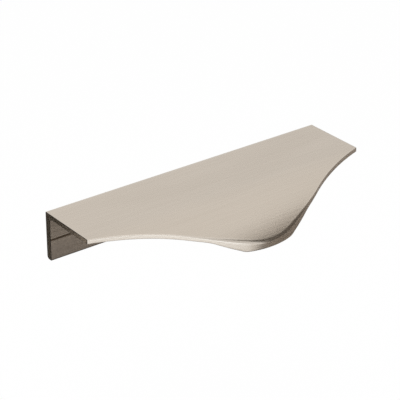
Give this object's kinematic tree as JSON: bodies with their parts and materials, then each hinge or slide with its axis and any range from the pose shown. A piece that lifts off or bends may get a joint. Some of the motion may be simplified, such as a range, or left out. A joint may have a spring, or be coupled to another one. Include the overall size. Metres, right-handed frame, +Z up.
{
  "type": "tab pull",
  "caption": "Edge pull: a screw flange behind a drawer or door front, and a plate over its top edge cut to a wave with a drooping finger nose.",
  "frame": {"origin": "middle of the screw line, on the face of the flange that seats on the back of the drawer or door front", "axes": "+X along the pull, -Y out of the front towards the user, +Z up, out of the front's top edge"},
  "size_m": [0.1, 0.0422, 0.0152],
  "materials": {
    "satin_metal": "brushed along its length, satin, in a warm nickel tone"
  },
  "bodies": {
    "root": {"tab_pull": "satin_metal"}
  },
  "joints": []
}
